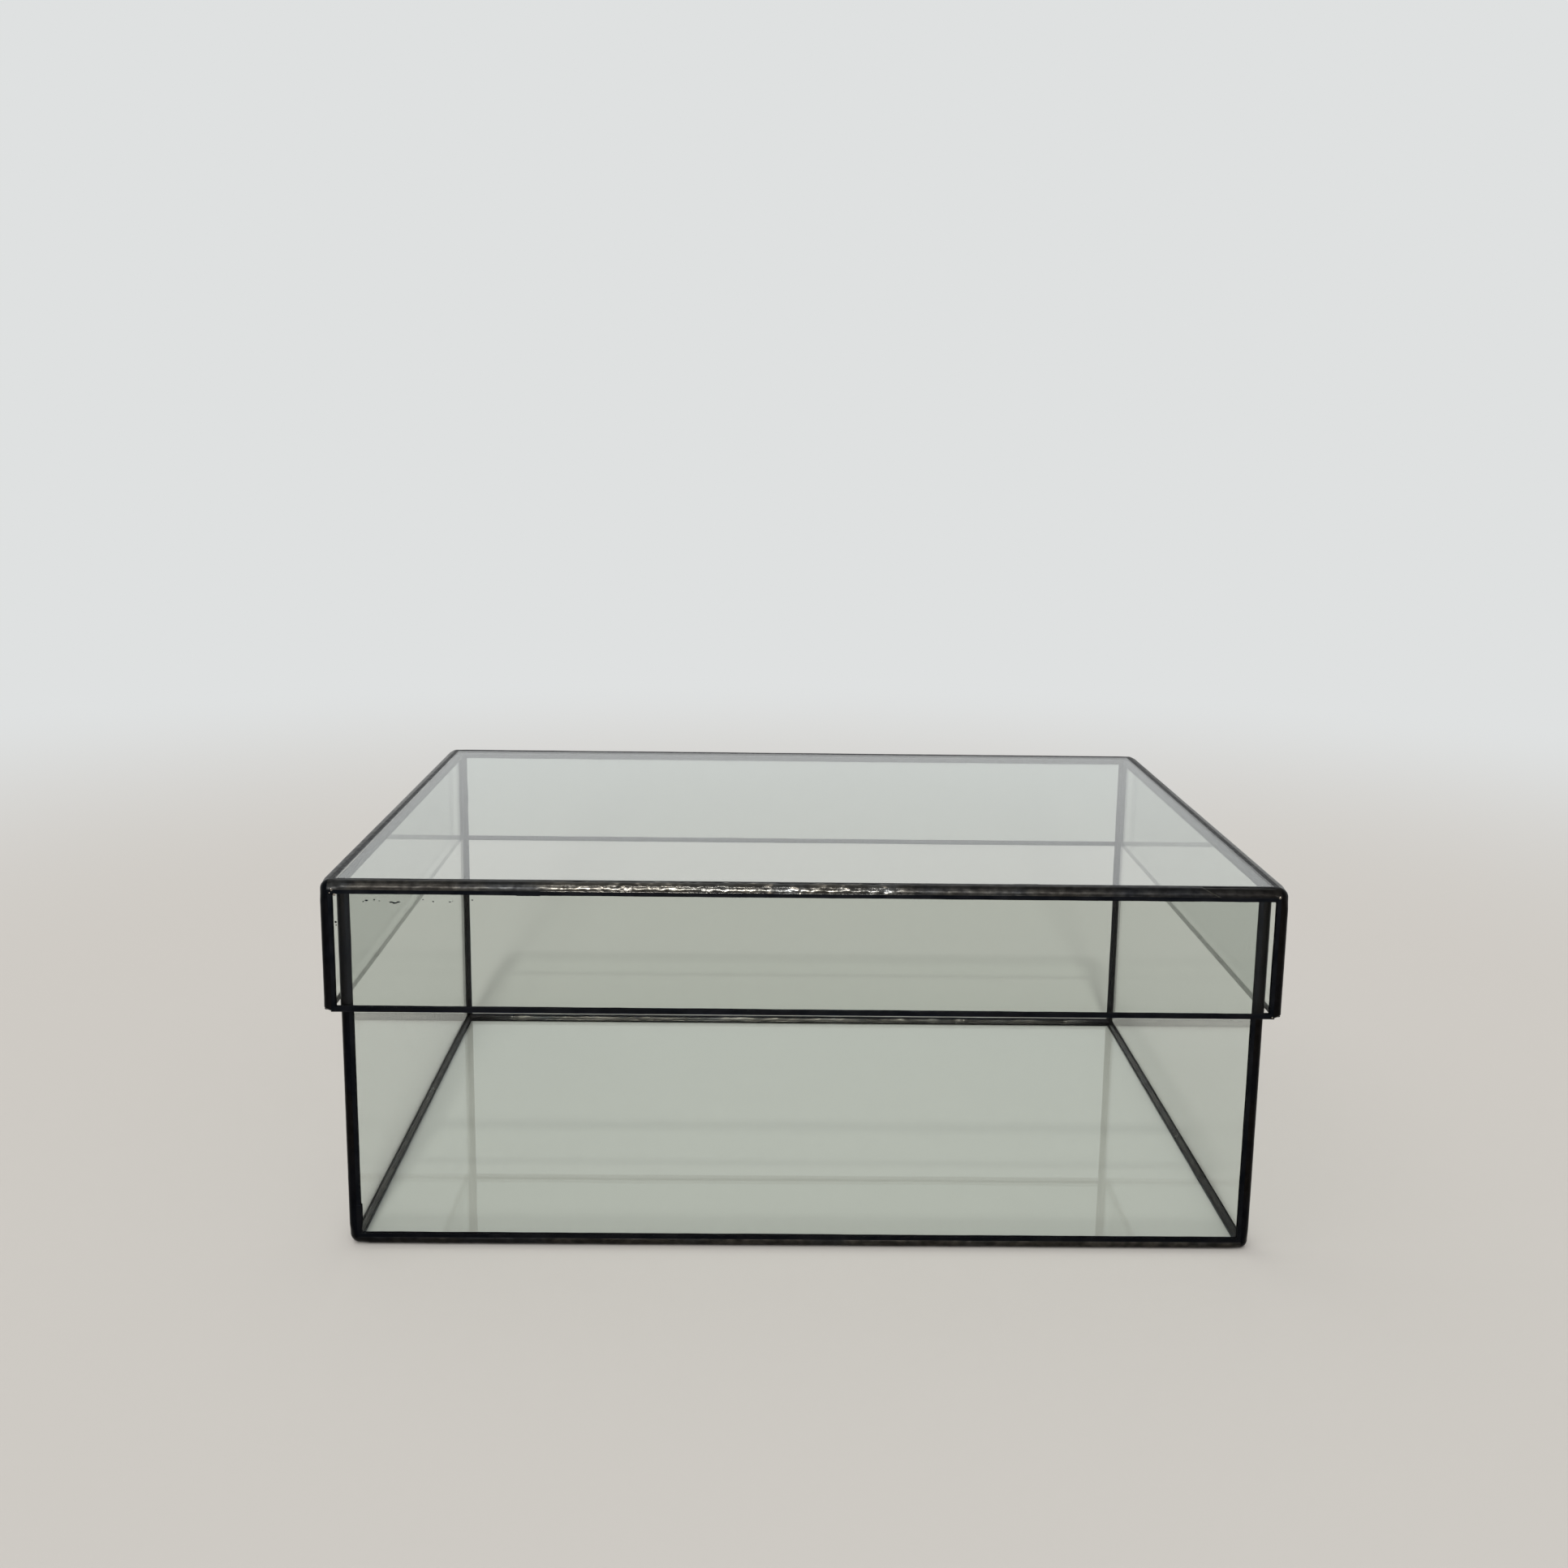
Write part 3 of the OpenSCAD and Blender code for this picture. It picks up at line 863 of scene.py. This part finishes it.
# %% Lay the seams of one box
def lay_box(prefix):
    """All solder of the case or the lid, one piece for each seam of the model."""
    middle, inner_x, inner_y, closed, opened, down = box_of(prefix)
    floor_out = Vector((0, 0, down))
    closed_name = "base" if prefix == "case" else "lid_top"
    edge_name = "rim" if prefix == "case" else "hem"
    made = []
    for k, side in enumerate(AROUND):
        out = OUT[side]
        length = 2 * (inner_x if side in ("front", "back") else inner_y)
        offset = inner_y if side in ("front", "back") else inner_x
        # The seam where this wall meets the closed end.
        ahead = out.cross(floor_out)
        start = out * offset + Vector((0, 0, closed)) - ahead * (length / 2)
        name = f"{closed_name}_{side}"
        seed = k + (10 if prefix == "lid" else 0)
        piece = lay_solder(name + "_solder", [bead_loop(), fillet_loop()], start, out, floor_out,
                           length, seed=seed, **SPECIAL.get(name, {}))
        made.append((piece, name + "_seam"))
        # The crown on this wall's open edge.
        away = -floor_out
        ahead = out.cross(away)
        level = opened - away.z * CROWN
        start = out * (offset + square / 2) + Vector((0, 0, level)) - ahead * (length / 2)
        piece = lay_solder(f"{prefix}_{side}_{edge_name}_solder", [crown_loop()], start, out, away,
                           length, ripple=0.02, drift=0.04, seed=k + 20)
        made.append((piece, f"{prefix}_{side}_{edge_name}"))
        # The upright seam between this wall and the one before it.
        other = OUT[AROUND[k - 1]]
        ways = (out.x + other.x, out.y + other.y)
        corner = Vector((ways[0] * inner_x, ways[1] * inner_y, closed))
        height = abs(opened - closed) - TIP[prefix]
        ahead = out.cross(other)
        foot = corner.copy()
        if ahead.z * (opened - closed) < 0:
            foot.z = closed + math.copysign(height, opened - closed)
        name = f"{prefix}_{POST[side]}"
        run = lay_solder(name + "_run", [bead_loop(), fillet_loop()], foot, out, other, height,
                         step=0.7, seed=k + 30)
        blob = corner_blob(name + "_blob", corner, (*ways, down), (square, square, square),
                           ease=0.06, seed=k + 1.7)
        end = corner.copy()
        end.z = opened + down * TIP[prefix]
        tip = corner_blob(name + "_tip", end, (*ways, -down), (square, square, TIP[prefix]),
                          ease=0.10, seed=k + 4.2)
        made.append((merge(name + "_solder", [run, blob, tip]), name + "_seam"))
    for k, side in enumerate(AROUND):
        ways = OUT[side] + OUT[AROUND[k - 1]]
        corner = (ways.x * inner_x, ways.y * inner_y, closed)
        radius = ROUND.get(f"{prefix}_{side}", USUAL_ROUND) * MM
        round_off([piece for piece, node in made], corner, (ways.x, ways.y, down), radius)
    for piece, node in made:
        piece.data.transform(Matrix.Translation(middle))
        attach(piece, prefix)
        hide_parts(node)
    return made


for prefix in ("case", "lid"):
    laid = lay_box(prefix)
    faces = sum(len(piece.data.polygons) for piece, node in laid)
    print(prefix, "pieces of solder:", len(laid), "faces:", faces)

# %% [markdown]
# ## Splashes and drops
#
# Handwork leaves traces. While the top seam was wiped, patina splashed in tiny black flecks onto
# the front pane of the skirt, just under the bead. The iron left six small drops on the lid's two
# front posts, five near the top bead and one by the hem. A fleck is a flattened ball with an
# uneven outline, pressed onto the glass. A drop is a small dome on the solder, painted light all
# over as bare metal with a painted glint.

# %% Make flecks on the glass and drops on the solder
# Each fleck is given as x, z, half its width and half its height, in millimetres.
FLECKS = [
    (-166.4, 141.5, 0.30, 0.22), (-165.2, 141.9, 0.62, 0.32), (-162.3, 142.2, 0.30, 0.24),
    (-160.4, 141.8, 0.22, 0.18), (-155.9, 141.3, 0.75, 0.26), (-154.6, 141.0, 0.95, 0.28),
    (-153.3, 141.4, 0.70, 0.24), (-144.0, 142.4, 0.34, 0.13), (-140.2, 141.7, 0.35, 0.22),
    (-133.9, 141.6, 0.38, 0.20), (-132.9, 141.9, 0.18, 0.12), (-125.5, 142.4, 0.28, 0.26),
    (-177.0, 133.4, 0.42, 0.42), (-176.9, 132.2, 0.20, 0.30),
]
FLECK_RISE = 0.05 * MM
# Each drop is given as x, y, z and its radius, in millimetres.
DROPS = [
    (-178.2, -141.57, 146.0, 0.75), (-177.2, -141.55, 144.1, 0.55), (179.2, -141.58, 146.0, 0.60),
    (179.3, -141.58, 98.6, 0.45), (-179.0, -141.55, 144.8, 0.35), (-179.8, -141.50, 145.9, 0.28),
]
DROP_RISE = 0.15 * MM
DROP_SEAT = 0.06 * MM


def blot(mesh, centre, size, seed):
    """Add a small uneven ball, squashed to the three sizes given."""
    made = bmesh.ops.create_icosphere(mesh, subdivisions=3, radius=1.0)
    for vertex in made["verts"]:
        way = vertex.co.normalized()
        wander = 1 + 0.35 * noise.noise(way * 1.6 + Vector((seed, seed * 0.7, 0)))
        vertex.co = Vector(centre) + Vector(way[i] * size[i] * wander for i in range(3))


def small_piece(name, mesh, metal):
    """Finish a small piece that rides on the lid."""
    for face in mesh.faces:
        face.smooth = True
    piece = to_object(name, mesh, metal)
    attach(piece, "lid")
    return piece


face_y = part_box("lid_front_pane")[0][1]
mesh = bmesh.new()
for number, (x, z, wide, high) in enumerate(FLECKS):
    blot(mesh, (x * MM, face_y, z * MM), (wide * MM, FLECK_RISE, high * MM), number * 1.3)
flecks = small_piece("lid_front_flecks", mesh, foil)
mesh = bmesh.new()
for number, (x, y, z, size) in enumerate(DROPS):
    centre = (x * MM, y * MM + DROP_SEAT, z * MM)
    blot(mesh, centre, (size * MM, DROP_RISE, size * MM), 5 + number)
drops = small_piece("lid_front_drops", mesh, solder)
# Each drop is painted as a fully rubbed crest, light bare metal all over, partly a painted glint.
for label in ("crest", "wear_and_sheen"):
    store = drops.data.attributes.new(label, "FLOAT", "POINT")
    store.data.foreach_set("value", [1.0] * len(drops.data.vertices))
print("flecks:", len(FLECKS), "drops:", len(DROPS))

# %% [markdown]
# ## Floor, backdrop and light
#
# Glass and black metal show what is round them, so the surroundings are kept plain and pale. The
# floor runs out to a great distance and fades into the same pale colour that the world shows, so
# there is no horizon line from any side. Two wide suns and an even sky light the floor to a level
# at which a colour looks as it is written. Two small suns, a window and a lamp, put the glints on
# the metal.

# %% Make the floor
PALE = linear("dfe1e1")
# The floor fades out between these two distances from the case, in metres.
FADE_FROM = 0.45
FADE_TO = 1.5
floor_paint, tree = new_material("pale_floor")
position = add(tree, "ShaderNodeTexCoord").outputs["Object"]
distance = add(tree, "ShaderNodeVectorMath", {0: position}, operation="LENGTH")
fading = add(tree, "ShaderNodeMapRange", {
    0: distance.outputs[1], 1: FADE_FROM, 2: FADE_TO}, interpolation_type="SMOOTHSTEP")
matt = add(tree, "ShaderNodeBsdfPrincipled", {
    "Base Color": linear("cdc9c3"), "Roughness": 1.0, "Specular IOR Level": 0.0})
far_away = add(tree, "ShaderNodeEmission", {"Color": PALE, "Strength": 1.0})
blend = add(tree, "ShaderNodeMixShader", {
    0: fading.outputs[0], 1: matt.outputs[0], 2: far_away.outputs[0]})
add(tree, "ShaderNodeOutputMaterial", {"Surface": blend.outputs[0]})
mesh = bmesh.new()
bmesh.ops.create_grid(mesh, x_segments=1, y_segments=1, size=40.0)
floor = to_object("floor", mesh, floor_paint)
floor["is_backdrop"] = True
print("floor:", floor.name)

# %% Make the world and the lamps
world = bpy.data.worlds.new("pale_studio")
scene.world = world
world.use_nodes = True
tree = world.node_tree
tree.nodes.clear()
ray = add(tree, "ShaderNodeLightPath")
seen = add(tree, "ShaderNodeMath", {
    0: ray.outputs["Is Camera Ray"], 1: ray.outputs["Is Glossy Ray"]}, operation="MAXIMUM")
seen = add(tree, "ShaderNodeMath", {
    0: seen.outputs[0], 1: ray.outputs["Is Transmission Ray"]}, operation="MAXIMUM")
sky = add(tree, "ShaderNodeBackground", {"Color": linear("ffffff"), "Strength": 0.5})
backdrop = add(tree, "ShaderNodeBackground", {"Color": PALE, "Strength": 1.0})
blend = add(tree, "ShaderNodeMixShader", {
    0: seen.outputs[0], 1: sky.outputs[0], 2: backdrop.outputs[0]})
add(tree, "ShaderNodeOutputWorld", {"Surface": blend.outputs[0]})
# Suns under this many degrees wide are mirrored in glass and metal.
SMALL_SUN = 20


def soft_sun(name, strength, spread, tilt, swing):
    """A soft sun. Tilt is from straight overhead and swing turns it about the case, in degrees."""
    data = bpy.data.lights.new(name, "SUN")
    data.energy = strength
    data.angle = math.radians(spread)
    lamp = bpy.data.objects.new(name, data)
    lamp.rotation_euler = (math.radians(tilt), 0, math.radians(swing))
    # Light already passes straight through the glass, so glass doesn't show the lamp once more.
    lamp.visible_transmission = False
    # A very wide sun would show in the panes as a big pale disc, so only a small one is mirrored.
    lamp.visible_glossy = spread < SMALL_SUN
    scene.collection.objects.link(lamp)
    return lamp


soft_sun("key", 0.5, 50, 28, -25)
soft_sun("fill", 0.5, 60, -30, 40)
soft_sun("window", 1.8, 6, 78, -3)
soft_sun("lamp", 0.5, 3, 40, -5)
scene.view_settings.view_transform = "Standard"

# %% [markdown]
# ## Measuring the result
#
# The box round the dressed piece is printed at the end. The dressed piece has to stay inside the
# box of the solid model.

# %% Measure and finish
low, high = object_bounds()
print("visual box:", [round(v, 4) for v in low], [round(v, 4) for v in high])
